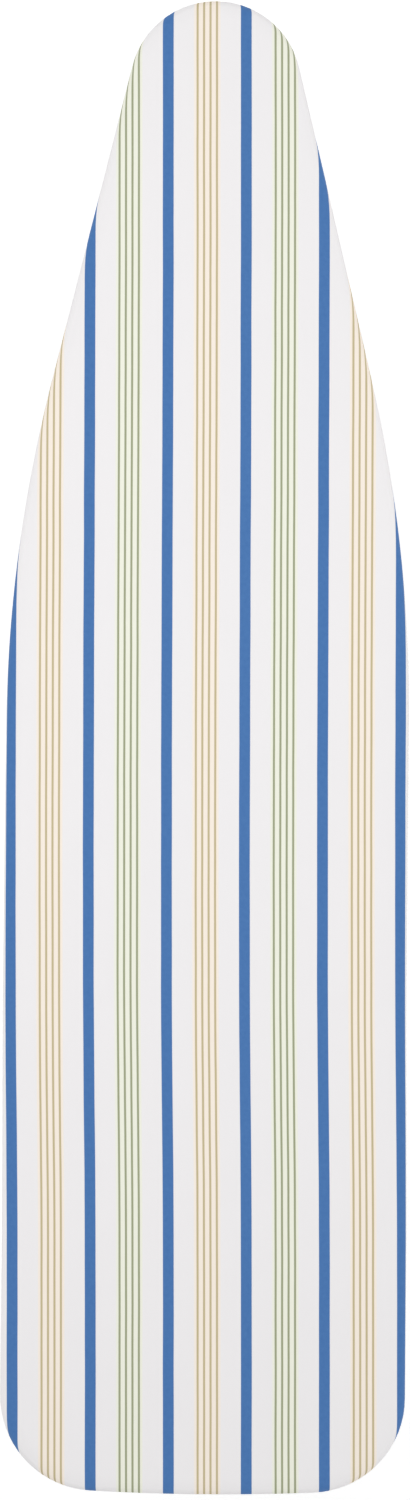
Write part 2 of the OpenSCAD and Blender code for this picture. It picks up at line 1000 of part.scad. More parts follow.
cover();
cover_elastic();
pad();
deck_panel();
rim();
rib_left();
rib_right();
rib_front();
rib_rear();
hinge_bracket_left();
hinge_bracket_right();
hinge_rod();
hinge_rod_caps();
guide_rod();
guide_bracket_front();
guide_bracket_rear();
guide_clips();
deck_rivets();
outer_tube_left();
outer_tube_right();
outer_plugs();
outer_stretcher();
outer_foot_bar();
outer_cap_left();
outer_cap_right();
hinge_bushes();
pivot_bolt();
pivot_nut();
pivot_washers();
pivot_spacers();
inner_tube_left();
inner_tube_right();
inner_plugs();
inner_stretcher();
inner_foot_bar();
inner_cap_left();
inner_cap_right();
pivot_sleeve();
carriage_block();
carriage_frame();
carriage_screws();
carriage_pins();
carriage_washers();
grip_sleeve();
lever_spring();
lever_pin();
lock_lever();
lever_sleeve();
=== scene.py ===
# %% [markdown]
# # A folding ironing board
#
# This lesson dresses a finished CAD model of an ironing board: a taut cotton cover over a foam
# pad, a vented steel deck, and crossed tube legs with a squeeze lever that locks the height.
# The hard parts come ready from CAD. Here they get their finishes, and the soft parts, which
# CAD draws as plain slabs, are made again as cloth and foam.

# %% Load the CAD model
import json
import math

import bmesh
import bpy
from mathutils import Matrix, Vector, noise


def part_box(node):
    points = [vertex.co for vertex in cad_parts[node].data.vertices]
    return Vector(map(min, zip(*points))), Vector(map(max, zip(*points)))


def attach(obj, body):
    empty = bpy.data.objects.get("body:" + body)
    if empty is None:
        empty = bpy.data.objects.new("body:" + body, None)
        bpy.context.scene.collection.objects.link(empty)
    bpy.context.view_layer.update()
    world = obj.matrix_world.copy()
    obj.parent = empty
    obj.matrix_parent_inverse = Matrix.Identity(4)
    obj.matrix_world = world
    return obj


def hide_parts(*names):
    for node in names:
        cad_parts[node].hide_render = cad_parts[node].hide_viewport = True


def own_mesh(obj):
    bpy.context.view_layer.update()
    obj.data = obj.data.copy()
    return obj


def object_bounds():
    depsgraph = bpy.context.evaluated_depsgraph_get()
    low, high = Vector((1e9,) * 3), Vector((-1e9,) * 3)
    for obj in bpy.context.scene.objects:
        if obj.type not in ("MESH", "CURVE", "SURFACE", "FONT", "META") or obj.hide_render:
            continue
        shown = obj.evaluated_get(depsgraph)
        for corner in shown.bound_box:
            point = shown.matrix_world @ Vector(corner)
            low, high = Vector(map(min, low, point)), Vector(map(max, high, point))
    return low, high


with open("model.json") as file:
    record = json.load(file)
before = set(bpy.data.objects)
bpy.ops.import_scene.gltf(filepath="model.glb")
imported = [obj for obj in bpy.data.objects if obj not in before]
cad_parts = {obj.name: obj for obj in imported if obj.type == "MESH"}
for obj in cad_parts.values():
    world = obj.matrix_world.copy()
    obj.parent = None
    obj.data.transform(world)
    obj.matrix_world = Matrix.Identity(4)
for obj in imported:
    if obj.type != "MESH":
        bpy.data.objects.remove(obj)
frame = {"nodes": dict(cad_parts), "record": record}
cad_low, cad_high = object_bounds()
print("CAD box", [round(v, 3) for v in cad_low], [round(v, 3) for v in cad_high])

# %% [markdown]
# ## Small helpers
#
# Blender works in metres, but a maker thinks in millimetres, so `MM` turns one into the other.
# Paint and cloth colours are easiest to read as hex, which is sRGB; shaders want linear light,
# so one function converts. Materials are trees of nodes, and one helper adds a node together
# with its settings and links, which keeps each recipe short.

# %% Units, colours and the node helper
MM = 0.001


def colour(hex_code):
    """An sRGB hex code as linear RGBA."""
    channels = [int(hex_code[i:i + 2], 16) / 255 for i in (1, 3, 5)]
    return [c / 12.92 if c <= 0.04045 else ((c + 0.055) / 1.055) ** 2.4 for c in channels] + [1]


def new_material(name):
    """An empty node material, with its shader and its tree."""
    material = bpy.data.materials.new(name)
    material.use_nodes = True
    tree = material.node_tree
    return material, tree, tree.nodes["Principled BSDF"]


def add_node(tree, kind, inputs=None, **settings):
    """Adds a node. An input is a value, or another node's output to link from."""
    node = tree.nodes.new("ShaderNode" + kind)
    for key, value in settings.items():
        setattr(node, key, value)
    for key, value in (inputs or {}).items():
        if isinstance(value, bpy.types.NodeSocket):
            tree.links.new(value, node.inputs[key])
        else:
            node.inputs[key].default_value = value
    return node


def place_in_mm(tree):
    """The place on the piece, in millimetres, so that a scale reads as one over a size."""
    where = add_node(tree, "TexCoord").outputs["Object"]
    return add_node(tree, "VectorMath", {0: where, 1: (1000, 1000, 1000)},
                    operation="MULTIPLY").outputs[0]


# %% [markdown]
# ## The camera
#
# The board is looked at from straight above, with its nose at the top of a tall, narrow
# picture. A long lens from far away keeps the edges from leaning, as a parallel view would,
# but a perspective camera can still be swung round the object afterwards. The board lies
# about half a degree askew, so the camera is rolled by that much, not the board.

# %% Camera
SENSOR = 36
LENS = 200
PICTURE_LENGTH = 1377 * MM
SKEW = math.radians(0.57)
AIM = Vector((-2.1 * MM, 1.9 * MM))

top_level = cad_high.z
camera_data = bpy.data.cameras.new("camera")
camera_data.lens = LENS
camera_data.sensor_width = SENSOR
camera = bpy.data.objects.new("camera", camera_data)
bpy.context.collection.objects.link(camera)
camera.location = (AIM.x, AIM.y, top_level + PICTURE_LENGTH * LENS / SENSOR)
camera.rotation_euler = (0, 0, SKEW - math.pi / 2)
bpy.context.scene.camera = camera
print("camera height", round(camera.location.z, 2), "m")

# %% [markdown]
# ## Floor and light
#
# A picture of a white thing on white is lit from all round, with a little more light at one
# end so that the cloth keeps some shape. The world gives the even part: a room with white
# walls and a dimmer ceiling, which also puts soft highlights on the metal. One big soft lamp
# hangs over the front half of the board, so the light fades towards the square end, and a
# weaker one stands at the side to shape the legs. The floor is a light table: it glows a
# little itself, which thins the shadow under the board and lifts the underside.

# %% Sizes and strengths of the light
FLOOR_HALF = 30
KEY_PLACE = (0.27, 0.18, 3.35)
KEY_SIZE = 1.8
KEY_POWER = 37.5
SIDE_PLACE = (-1.6, -3.4, 1.9)
SIDE_SIZE = 1.6
SIDE_POWER = 11
WALL_LIGHT = 1.0
CEILING_LIGHT = 0.168


# %% The glowing floor
floor_mesh = bmesh.new()
bmesh.ops.create_grid(floor_mesh, x_segments=1, y_segments=1, size=FLOOR_HALF)
floor_data = bpy.data.meshes.new("floor")
floor_mesh.to_mesh(floor_data)
floor_mesh.free()
floor = bpy.data.objects.new("floor", floor_data)
bpy.context.collection.objects.link(floor)
floor_paint, tree, shader = new_material("light_table")
shader.inputs["Base Color"].default_value = colour("#F4F4F4")
shader.inputs["Roughness"].default_value = 0.9
shader.inputs["Emission Color"].default_value = (1, 1, 1, 1)
shader.inputs["Emission Strength"].default_value = 0.46
floor_data.materials.append(floor_paint)
print("floor", 2 * FLOOR_HALF, "m wide")

# %% The room's even light
world = bpy.data.worlds.new("studio")
bpy.context.scene.world = world
world.use_nodes = True
sky = world.node_tree
direction = add_node(sky, "TexCoord")
axes = add_node(sky, "SeparateXYZ", {"Vector": direction.outputs["Generated"]})
walls = add_node(sky, "MapRange", {"Value": axes.outputs["Z"], "From Min": 0.0, "From Max": 1.0,
                                   "To Min": WALL_LIGHT, "To Max": CEILING_LIGHT})
sky.links.new(walls.outputs["Result"], sky.nodes["Background"].inputs["Strength"])
sky.nodes["Background"].inputs["Color"].default_value = (1, 1, 1, 1)
bpy.context.scene.view_settings.view_transform = "Standard"
print("walls", WALL_LIGHT, "ceiling", CEILING_LIGHT)


# %% Two soft lamps

def soft_lamp(name, place, size, power, aim):
    """A square lamp at a place, facing a point; the camera looks through it."""
    data = bpy.data.lights.new(name, "AREA")
    data.shape = "SQUARE"
    data.size = size
    data.energy = power
    lamp = bpy.data.objects.new(name, data)
    bpy.context.collection.objects.link(lamp)
    lamp.location = place
    lamp.rotation_euler = (Vector(aim) - Vector(place)).to_track_quat("-Z", "Y").to_euler()
    lamp.visible_camera = False


soft_lamp("key_lamp", KEY_PLACE, KEY_SIZE, KEY_POWER, (KEY_PLACE[0], KEY_PLACE[1], 0))
soft_lamp("side_lamp", SIDE_PLACE, SIDE_SIZE, SIDE_POWER, (0, 0, top_level / 2))
print("lamps", KEY_POWER, "and", SIDE_POWER, "W")

# %% [markdown]
# ## The outline of the board
#
# The outline is six smooth stretches on each side: a round nose, a straight flank, a long
# soft shoulder, an almost straight side, a rounded corner and the shallow arc of the end.
# Each arc meets the next stretch without a kink. Walking along it gives stations, each with
# a place on the edge and the direction that faces outwards there. Everything soft is built
# from these stations, because moving along the outward direction makes an evenly wider or
# narrower outline.

# %% Stations along the left edge
cover_low, cover_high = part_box("cover")
HALF_LENGTH = (cover_high.x - cover_low.x) / 2
TAIL_HALF_WIDTH = 186.25 * MM
NOSE_R = 79 * MM
SHOULDER_R = 1340 * MM
CORNER_R = 87.5 * MM
TAIL_R = 2140 * MM
FLANK_ANGLE = math.radians(76.3)
SIDE_ANGLE = math.radians(89.9)
STEP = 8 * MM


def facing(angle):
    return Vector((math.cos(angle), math.sin(angle)))


flank, side = facing(FLANK_ANGLE), facing(SIDE_ANGLE)
nose_centre = Vector((HALF_LENGTH - NOSE_R, 0))
flank_line = nose_centre.dot(flank) + NOSE_R - SHOULDER_R
side_reach = Vector((-HALF_LENGTH, TAIL_HALF_WIDTH)).dot(side)
side_line = side_reach - SHOULDER_R
turn = math.sin(SIDE_ANGLE - FLANK_ANGLE)
shoulder_centre = Vector((side.y * flank_line - flank.y * side_line,
                          flank.x * side_line - side.x * flank_line)) / turn
tail_centre = Vector((TAIL_R - HALF_LENGTH, 0))
corner_out = side_reach - CORNER_R - tail_centre.dot(side)
corner_back = math.sqrt((TAIL_R - CORNER_R) ** 2 - corner_out ** 2)
corner_centre = tail_centre + side * corner_out + facing(SIDE_ANGLE + math.pi / 2) * corner_back
TAIL_ANGLE = math.atan2(corner_centre.y, corner_centre.x - tail_centre.x)


# %% Walking along the edge
def arc_stations(centre, radius, start, end, step):
    """Stations on an arc, from its start up to just before its end."""
    count = max(2, round(radius * abs(end - start) / step))
    angles = [start + (end - start) * i / count for i in range(count)]
    return [(centre + radius * facing(a), facing(a)) for a in angles]


def line_stations(start, end, outward, step):
    """Stations on a straight stretch, from its start up to just before its end."""
    count = max(1, round((end - start).length / step))
    return [(start.lerp(end, i / count), outward) for i in range(count)]


def edge_stations(step):
    """Stations from the tip of the nose along the left edge to the end of the corner."""
    left = arc_stations(nose_centre, NOSE_R, 0, FLANK_ANGLE, step)
    left += line_stations(nose_centre + NOSE_R * flank, shoulder_centre + SHOULDER_R * flank,
                          flank, step)
    left += arc_stations(shoulder_centre, SHOULDER_R, FLANK_ANGLE, SIDE_ANGLE, step)
    left += line_stations(shoulder_centre + SHOULDER_R * side, corner_centre + CORNER_R * side,
                          side, step)
    left += arc_stations(corner_centre, CORNER_R, SIDE_ANGLE, TAIL_ANGLE, step)
    left.append((corner_centre + CORNER_R * facing(TAIL_ANGLE), facing(TAIL_ANGLE)))
    return left


stations = edge_stations(STEP)
print(len(stations), "stations on each side")

# %% [markdown]
# ## A sheet that follows the outline
#
# Cloth and foam both start as a plain grid. Each column of the grid is moved to one station
# and each row is spread between the left and the right edge, so the grid takes the board's
# shape with even squares. The columns bow a little near the square end, until the last one
# lies on its shallow arc. Each corner of the mesh also remembers two things as it is made:
# which way is outwards, for the rows that are extruded over the edge later, and where it
# lies on the flat cloth, so that the printed stripes follow the cloth round the edge.

# %% Grid, rows over the edge, and the flat cloth map
ROWS_ACROSS = 44
BOW_LENGTH = 80 * MM


def board_grid(places, inset, level, across):
    """A bmesh in the board's shape, pulled in by inset, with its memory layers."""
    grid = bmesh.new()
    last = len(places) - 1
    bmesh.ops.create_grid(grid, x_segments=last, y_segments=across, size=1)
    outward = grid.verts.layers.float_vector.new("outward")
    flat = grid.verts.layers.float_vector.new("flat")
    end = places[last][0] - places[last][1] * inset
    tail_r = TAIL_R - inset
    for vert in grid.verts:
        column = round((1 - vert.co.x) / 2 * last)
        share = vert.co.y
        edge, out = places[column]
        inner = edge - out * inset
        y = inner.y * share
        bow = math.sqrt(tail_r ** 2 - y ** 2) - math.sqrt(tail_r ** 2 - inner.y ** 2)
        bowed = max(0, 1 - (inner.x - end.x) / BOW_LENGTH) ** 2
        vert.co = (inner.x - bow * bowed, y, level)
        if column == last:
            away = (vert.co.xy - tail_centre).normalized()
        else:
            away = Vector((out.x, math.copysign(out.y, share)))
        vert[outward] = away.to_3d()
        vert[flat] = vert.co
    bmesh.ops.remove_doubles(grid, verts=grid.verts, dist=0.02 * MM)
    bmesh.ops.recalc_face_normals(grid, faces=grid.faces)
    if sum(face.normal.z for face in grid.faces) < 0:
        bmesh.ops.reverse_faces(grid, faces=grid.faces)
    return grid


# %% Rows over an edge, and making pieces
def open_edges(mesh):
    return [e for e in mesh.edges if len(e.link_faces) == 1]


def extrude_row(mesh, edges, place):
    """Extrudes a row of edges once, puts each new corner where place() says."""
    made = bmesh.ops.extrude_edge_only(mesh, edges=edges)["geom"]
    corners = {v for v in made if isinstance(v, bmesh.types.BMVert)}
    for corner in corners:
        place(corner)
    return [e for e in made if isinstance(e, bmesh.types.BMEdge) and set(e.verts) <= corners]


def soft_object(name, mesh, material, body):
    """Turns a bmesh into a smooth piece, with its cloth map, that rides on a CAD body."""
    flat = mesh.verts.layers.float_vector["flat"]
    cloth_map = mesh.loops.layers.uv.new("cloth")
    for face in mesh.faces:
        face.smooth = True
        for loop in face.loops:
            loop[cloth_map].uv = loop.vert[flat].xy
    return ride_object(name, mesh, material, body)


def ride_object(name, mesh, material, body):
    """Turns a bmesh into a piece with a finish that rides on a CAD body."""
    data = bpy.data.meshes.new(name)
    mesh.to_mesh(data)
    mesh.free()
    data.materials.append(material)
    piece = bpy.data.objects.new(name, data)
    bpy.context.collection.objects.link(piece)
    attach(piece, body)
    print(name, len(data.polygons), "faces")
    return piece


# %% [markdown]
# ## Printed cotton
#
# The cover is plain-woven cotton, printed along its length: a blue stripe every 72 mm, and
# midway between the blue stripes a group of four fine lines on a faint wash of colour, tan
# and green by turns. A scan of the cloth would be one way to colour it. Measuring across
# the cloth and asking how far the nearest stripe is takes only arithmetic, stays sharp at
# any size, and follows the cloth, because it reads the flat cloth map. Cotton is matt, so the
# roughness is high and the shine low. The real threads are about 0.4 mm apart, too fine to
# show, so the weave is drawn at 1.6 mm.

# %% Cotton material
STRIPE_PITCH = 71.66
STRIPE_MIDDLE = 1.55
BLUE_HALF = 5.0
LINE_PITCH = 5.93
LINE_HALF = 0.95
WASH_HALF = 12
WEAVE = 1.6

cotton, tree, shader = new_material("printed_cotton")


def maths(operation, *values):
    """One arithmetic step on sockets or numbers."""
    return add_node(tree, "Math", dict(enumerate(values)), operation=operation).outputs[0]


def inside(distance, half, soft):
    """1 where the distance is under half, 0 beyond it, with an edge as soft as soft."""
    edge = add_node(tree, "MapRange", {"Value": distance, "From Min": half + soft,
                                       "From Max": half - soft, "To Min": 0.0, "To Max": 1.0},
                    interpolation_type="SMOOTHSTEP")
    return edge.outputs["Result"]


def mixed(share, under, over):
    """The colour over laid on the colour under, by the given share."""
    mix = add_node(tree, "Mix", data_type="RGBA")
    for key, value in ((0, share), (6, under), (7, over)):
        if isinstance(value, bpy.types.NodeSocket):
            tree.links.new(value, mix.inputs[key])
        else:
            mix.inputs[key].default_value = value
    return mix.outputs[2]


# %% How far each spot of the cloth is from its nearest stripe
cloth_map = add_node(tree, "UVMap", uv_map="cloth")
flat_mm = add_node(tree, "VectorMath", {0: cloth_map.outputs["UV"], 1: (1000, 1000, 1000)},
                   operation="MULTIPLY")
wander = add_node(tree, "TexNoise", {"Vector": flat_mm.outputs[0], "Scale": 0.012, "Detail": 1.0})
flat_axes = add_node(tree, "SeparateXYZ", {"Vector": flat_mm.outputs[0]})
along = flat_axes.outputs["X"]
across = maths("SUBTRACT", maths("MULTIPLY", flat_axes.outputs["Y"], math.cos(SKEW)),
               maths("MULTIPLY", along, math.sin(SKEW)))
wandering = maths("MULTIPLY", maths("SUBTRACT", wander.outputs["Fac"], 0.5), 0.5)
across = maths("ADD", maths("SUBTRACT", across, STRIPE_MIDDLE), wandering)
turns = maths("DIVIDE", across, STRIPE_PITCH)
group_number = maths("FLOOR", maths("ADD", turns, 0.5))
from_group = maths("ABSOLUTE", maths("MULTIPLY", maths("SUBTRACT", turns, group_number),
                                     STRIPE_PITCH))
from_blue = maths("SUBTRACT", STRIPE_PITCH / 2, from_group)
green_group = maths("ABSOLUTE", maths("MODULO", group_number, 2.0))
from_line = maths("ABSOLUTE", maths("SUBTRACT", maths("MODULO", from_group, LINE_PITCH),
                                    LINE_PITCH / 2))
in_group = inside(from_group, WASH_HALF, 0.8)
on_line = maths("MULTIPLY", inside(from_line, LINE_HALF, 0.3), inside(from_group, WASH_HALF, 0.2))
on_blue = inside(from_blue, BLUE_HALF, 0.35)
print("blue stripes", round(2 * BLUE_HALF, 1), "mm wide, every", STRIPE_PITCH, "mm")

# %% Inks on the bare cloth
wash = mixed(green_group, colour("#FAEFE2"), colour("#F2F3E4"))
line_ink = mixed(green_group, colour("#C6B892"), colour("#9FA586"))
cloth_patch = add_node(tree, "TexNoise", {"Vector": flat_mm.outputs[0], "Scale": 0.02,
                                          "Detail": 3.0})
bare = mixed(cloth_patch.outputs["Fac"], colour("#F1EFF0"), colour("#F3F1F2"))
ground = mixed(in_group, bare, wash)
lined = mixed(on_line, ground, line_ink)
ink_patch = add_node(tree, "TexNoise", {"Vector": flat_mm.outputs[0], "Scale": 0.25,
                                        "Detail": 2.0})
blue = mixed(ink_patch.outputs["Fac"], colour("#4371AE"), colour("#4F7DB7"))
printed = mixed(on_blue, lined, blue)
tree.links.new(printed, shader.inputs["Base Color"])
print("inks: blue, tan and green on white")

# %% The weave, as bumps
warp = maths("SINE", maths("MULTIPLY", flat_axes.outputs["Y"], math.tau / WEAVE))
weft = maths("SINE", maths("MULTIPLY", along, math.tau / WEAVE))
slub = add_node(tree, "TexNoise", {"Vector": flat_mm.outputs[0], "Scale": 0.5, "Detail": 4.0})
weave = maths("ADD", maths("MULTIPLY", warp, weft), slub.outputs["Fac"])
bump = add_node(tree, "Bump", {"Height": weave, "Strength": 0.12, "Distance": 0.1 * MM})
tree.links.new(bump.outputs["Normal"], shader.inputs["Normal"])
shader.inputs["Roughness"].default_value = 0.88
shader.inputs["Specular IOR Level"].default_value = 0.25
shader.inputs["Sheen Weight"].default_value = 0.1
shader.inputs["Sheen Roughness"].default_value = 0.5
print("weave drawn at", WEAVE, "mm")

# %% [markdown]
# ## The cover
#
# The cover is one sheet of cloth: over the pad, round the edge, down past the steel rim and
# in under the board, where elastic draws it together. The grid makes the top. Its open edge
# is then extruded row by row along a profile of the edge. On top the cloth isn't perfectly
# flat: two soft creases cross it where it was folded in its packet, and it undulates a
# little over the foam. It was pulled on by hand, so it sits up to two millimetres askew at
# both ends. Below the edge the spare cloth stands in gathers, deeper towards the elastic
# and where the outline bends.

# %% How the cover lies
CLOTH_T = 0.7 * MM
EDGE_R = 7 * MM
TOP_INSET = 16 * MM
LOWER_R = 3.5 * MM
HEM_REACH = 41 * MM
SIDE_GATHER = 0.3 * MM
CREASES = (241 * MM, -233 * MM)
CREASE_HALF = 7 * MM
CREASE_DEPTH = 0.35 * MM
GATHER = 13 * MM
BEND_R = (NOSE_R + CORNER_R) / 2
ASKEW = 1.75 * MM

drop = cover_high.z - cover_low.z


def eased(value, start, end):
    """0 before start, 1 after end, and smooth between."""
    share = min(1, max(0, (value - start) / (end - start)))
    return share * share * (3 - 2 * share)


def askew(x):
    """How far the cover sits to the right of the middle, at a place along it."""
    return ASKEW * (eased(x, -120 * MM, 520 * MM) + eased(x, -200 * MM, -470 * MM))


def top_relief(x, y):
    """How far the cloth lies below its highest level."""
    below = 0.25 * MM * (1 + noise.noise(Vector((x * 9, y * 14, 0.3))))
    for place in CREASES:
        wander = 4 * MM * noise.noise(Vector((y * 8, place, 0)))
        below += CREASE_DEPTH * math.exp(-((x - place + wander) / CREASE_HALF) ** 2)
    return below


def way_along(place, out):
    """The way round the edge to a place, a little stretched on the shallow bends."""
    return place.y * out.x - place.x * out.y + math.atan2(out.y, out.x) * BEND_R


def pleat(place, out):
    """A wandering wave along the edge, about -1 to 1, stronger round the nose and corners."""
    wave = math.sin(way_along(place, out) / GATHER * math.tau + 2.5 * noise.noise(place * 16))
    bend = 0.35 + 0.65 * math.exp(-out.y ** 2 / 0.3) + 0.2 * noise.noise(place * 7)
    return bend * (0.8 * wave + 0.5 * noise.noise(place * 60))


def quarter(count):
    """The sine and the cosine along a quarter turn, without its start."""
    angles = [math.pi / 2 * i / count for i in range(1, count + 1)]
    return [(math.sin(a), math.cos(a)) for a in angles]


def edge_profile():
    """Rows over the edge: how far out, how far down, and how much gather, from 0 to 1."""
    low = drop - LOWER_R
    rows = [(TOP_INSET - EDGE_R + EDGE_R * s, EDGE_R - EDGE_R * c, 0.1 * s)
            for s, c in quarter(6)]
    rows += [(TOP_INSET, EDGE_R + (low - EDGE_R) * i / 5, 0.1 + 0.1 * i) for i in range(1, 6)]
    rows += [(TOP_INSET - LOWER_R + LOWER_R * c, low + LOWER_R * s, 0.6) for s, c in quarter(4)]
    under = HEM_REACH - LOWER_R
    rows += [(TOP_INSET - LOWER_R - under * i / 7, drop, 0.6 + 0.4 * i / 7) for i in range(1, 8)]
    return rows


# %% The top of the cover, its side and the turned-in hem
cover_mesh = board_grid(stations, TOP_INSET, cover_high.z, ROWS_ACROSS)
outward = cover_mesh.verts.layers.float_vector["outward"]
flat = cover_mesh.verts.layers.float_vector["flat"]
for vert in cover_mesh.verts:
    vert.co.z -= top_relief(vert.co.x, vert.co.y)

edges = open_edges(cover_mesh)
over_edge = {}
travelled, out_before, down_before = 0, 0, 0
for out_by, down_by, gathered in edge_profile():
    travelled += math.hypot(out_by - out_before, down_by - down_before)
    out_before, down_before = out_by, down_by

    def put_cloth(vert):
        home, out = vert[flat].copy(), vert[outward].copy()
        wave = pleat(home, out) * gathered
        hangs = out_by < TOP_INSET - LOWER_R and down_by > drop / 2
        spot = home + out * (out_by + (0 if hangs else SIDE_GATHER * wave))
        sink = 1.5 * MM * (wave + gathered) if hangs else 0
        vert.co = (spot.x, spot.y, cover_high.z - down_by - sink)
        over_edge[vert] = home + out * travelled

    edges = extrude_row(cover_mesh, edges, put_cloth)
for vert, place in over_edge.items():
    vert[flat] = place
for vert in cover_mesh.verts:
    vert.co.y -= askew(vert.co.x)

cover = soft_object("striped_cover", cover_mesh, cotton, "board")
thickness = cover.modifiers.new("thickness", "SOLIDIFY")
thickness.thickness = CLOTH_T
thickness.offset = -1
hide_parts("cover")

# %% [markdown]
# ## Hem tape
#
# The cut edge of the cloth is bound with plain white cotton tape, and the elastic runs inside
# it. Two rows of lockstitch hold it. Tape has a herringbone twill weave, so its finish is a
# slanting ripple, 2 mm apart to make it show. The UV map runs along the tape and round it,
# so the stitches, one every 3 mm, stay on two lines whatever way the tape bends.

# %% Hem tape material
STITCH = 3.0
STITCH_ROWS = 2.4
TAPE_TURN = 17
TAPE_UNDER = 0.75 * TAPE_TURN

tape, tree, shader = new_material("cotton_twill_tape")
tape_map = add_node(tree, "UVMap", uv_map="cloth")
tape_mm = add_node(tree, "VectorMath", {0: tape_map.outputs["UV"], 1: (1000, 1000, 1000)},
                   operation="MULTIPLY")
tape_axes = add_node(tree, "SeparateXYZ", {"Vector": tape_mm.outputs[0]})
down_tape, round_tape = tape_axes.outputs["X"], tape_axes.outputs["Y"]
slant = maths("SINE", maths("MULTIPLY", maths("ADD", down_tape, round_tape), math.tau / 2))
thread = inside(maths("PINGPONG", down_tape, STITCH / 2), STITCH / 3, 0.3)
from_middle = maths("ABSOLUTE", maths("SUBTRACT", round_tape, TAPE_UNDER))
line = inside(maths("ABSOLUTE", maths("SUBTRACT", from_middle, STITCH_ROWS)), 0.45, 0.1)
stitch = maths("MULTIPLY", thread, line)
tree.links.new(mixed(stitch, colour("#E6E4E1"), colour("#F6F5F2")), shader.inputs["Base Color"])
height = maths("ADD", maths("MULTIPLY", slant, 0.25), stitch)
bump = add_node(tree, "Bump", {"Height": height, "Strength": 0.5, "Distance": 0.3 * MM})
tree.links.new(bump.outputs["Normal"], shader.inputs["Normal"])
shader.inputs["Roughness"].default_value = 0.85
shader.inputs["Specular IOR Level"].default_value = 0.25

# %% Hem tape
TAPE_W = 3.4 * MM
TAPE_H = 1.7 * MM
TAPE_SIDES = 10

# %% The tape, swept round the hem
tape_mesh = board_grid(stations, TOP_INSET, cover_high.z, ROWS_ACROSS)
outward = tape_mesh.verts.layers.float_vector["outward"]
flat = tape_mesh.verts.layers.float_vector["flat"]
first_loop = open_edges(tape_mesh)
inner_edges = [e for e in tape_mesh.edges if len(e.link_faces) > 1]
bmesh.ops.delete(tape_mesh, geom=inner_edges, context="EDGES_FACES")
bmesh.ops.delete(tape_mesh, geom=[v for v in tape_mesh.verts if not v.link_edges],
                 context="VERTS")
tape_out = TOP_INSET - HEM_REACH
tape_level = cover_low.z - 1.2 * MM
wound = {}


def put_tape(vert, share):
    """Puts a corner on the puffed tape, at a share of a turn round its flat oval."""
    home, out = vert[flat].copy(), vert[outward].copy()
    wave = pleat(home, out)
    puff = 1 + 0.25 * wave
    spot = home + out * (tape_out + TAPE_W * puff * math.cos(math.tau * share))
    level = tape_level - 1.2 * MM * (wave + 1) + TAPE_H * puff * math.sin(math.tau * share)
    vert.co = (spot.x, spot.y - askew(spot.x), level)
    wound[vert] = (way_along(home, out), share * TAPE_TURN * MM)


for vert in tape_mesh.verts:
    put_tape(vert, 0)
last_loop = first_loop
for number in range(1, TAPE_SIDES):
    last_loop = extrude_row(tape_mesh, last_loop,
                            lambda vert: put_tape(vert, number / TAPE_SIDES))
bmesh.ops.bridge_loops(tape_mesh, edges=first_loop + last_loop)
bmesh.ops.recalc_face_normals(tape_mesh, faces=tape_mesh.faces)


# %% The tape's own map
def nearest_turn(value, reference, period):
    """The value, moved by whole periods until it is next to the reference."""
    return value + period * round((reference - value) / period)


tape_uv = tape_mesh.loops.layers.uv.new("cloth")
for face in tape_mesh.faces:
    face.smooth = True
    way, turned = wound[face.verts[0]]
    for corner in face.loops:
        here = wound[corner.vert]
        corner[tape_uv].uv = (nearest_turn(here[0], way, math.tau * BEND_R),
                              nearest_turn(here[1], turned, TAPE_TURN * MM))
hem_tape = ride_object("hem_tape", tape_mesh, tape, "board")
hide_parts("cover_elastic")

# %% [markdown]
# ## The way round the outline
#
# The length of the board's outline is summed from the stations: the lengths between them along
# both sides, and the straight way across the end.

# %% The way round the outline
edge_points = [edge for edge, out in stations]
way_round = 2 * sum((a - b).length for a, b in zip(edge_points, edge_points[1:]))
way_round += 2 * edge_points[-1].y

# %% [markdown]
# ## Foam pad
#
# Under the cover lies a foam pad, cut to the board's outline. Only its underside can be seen,
# through the steam vents of the deck. It starts from the same grid as the cover, and its
# open edge is extruded down with a rounded corner, and one face closes the underside. The
# cover pulls the pad along where it sits askew, so the pad is shifted by the same amount.

# %% Foam material
foam, tree, shader = new_material("open_cell_foam")
FOAM_CELL = 1.2
cells = add_node(tree, "TexVoronoi", {"Vector": place_in_mm(tree), "Scale": 1 / FOAM_CELL})
# The colour is darker at the middle of each foam cell, where the bump sinks into a pore: painted
# shade in the pore hollows.
pore_shade = add_node(tree, "Mix", {0: cells.outputs["Distance"]}, data_type="RGBA")
pore_shade.inputs[6].default_value = colour("#CFC7AE")
pore_shade.inputs[7].default_value = colour("#EDE7D3")
tree.links.new(pore_shade.outputs[2], shader.inputs["Base Color"])
bump = add_node(tree, "Bump", {"Height": cells.outputs["Distance"], "Strength": 0.5,
                               "Distance": 0.4 * MM})
tree.links.new(bump.outputs["Normal"], shader.inputs["Normal"])
shader.inputs["Roughness"].default_value = 0.95
shader.inputs["Specular IOR Level"].default_value = 0.1

# %% Foam pad
PAD_INSET = 2.4 * MM
PAD_EDGE_R = 2.5 * MM
PAD_ROWS = 16

pad_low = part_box("pad")[0]
pad_top = cover_high.z - 1.6 * MM
pad_mesh = board_grid(edge_stations(2 * STEP), PAD_INSET + PAD_EDGE_R, pad_top, PAD_ROWS)
outward = pad_mesh.verts.layers.float_vector["outward"]
flat = pad_mesh.verts.layers.float_vector["flat"]
levels = [(PAD_EDGE_R * s, pad_top - PAD_EDGE_R + PAD_EDGE_R * c) for s, c in quarter(4)]
levels.append((PAD_EDGE_R, pad_low.z))
pad_edges = open_edges(pad_mesh)
for out_by, level in levels:
    def put_foam(vert):
        spot = vert[flat] + vert[outward] * out_by
        vert.co = (spot.x, spot.y, level)

    pad_edges = extrude_row(pad_mesh, pad_edges, put_foam)
for vert in pad_mesh.verts:
    vert.co.y -= askew(vert.co.x)
bmesh.ops.holes_fill(pad_mesh, edges=pad_edges, sides=0)
bmesh.ops.recalc_face_normals(pad_mesh, faces=pad_mesh.faces)
foam_pad = soft_object("foam_pad", pad_mesh, foam, "board")
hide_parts("pad")

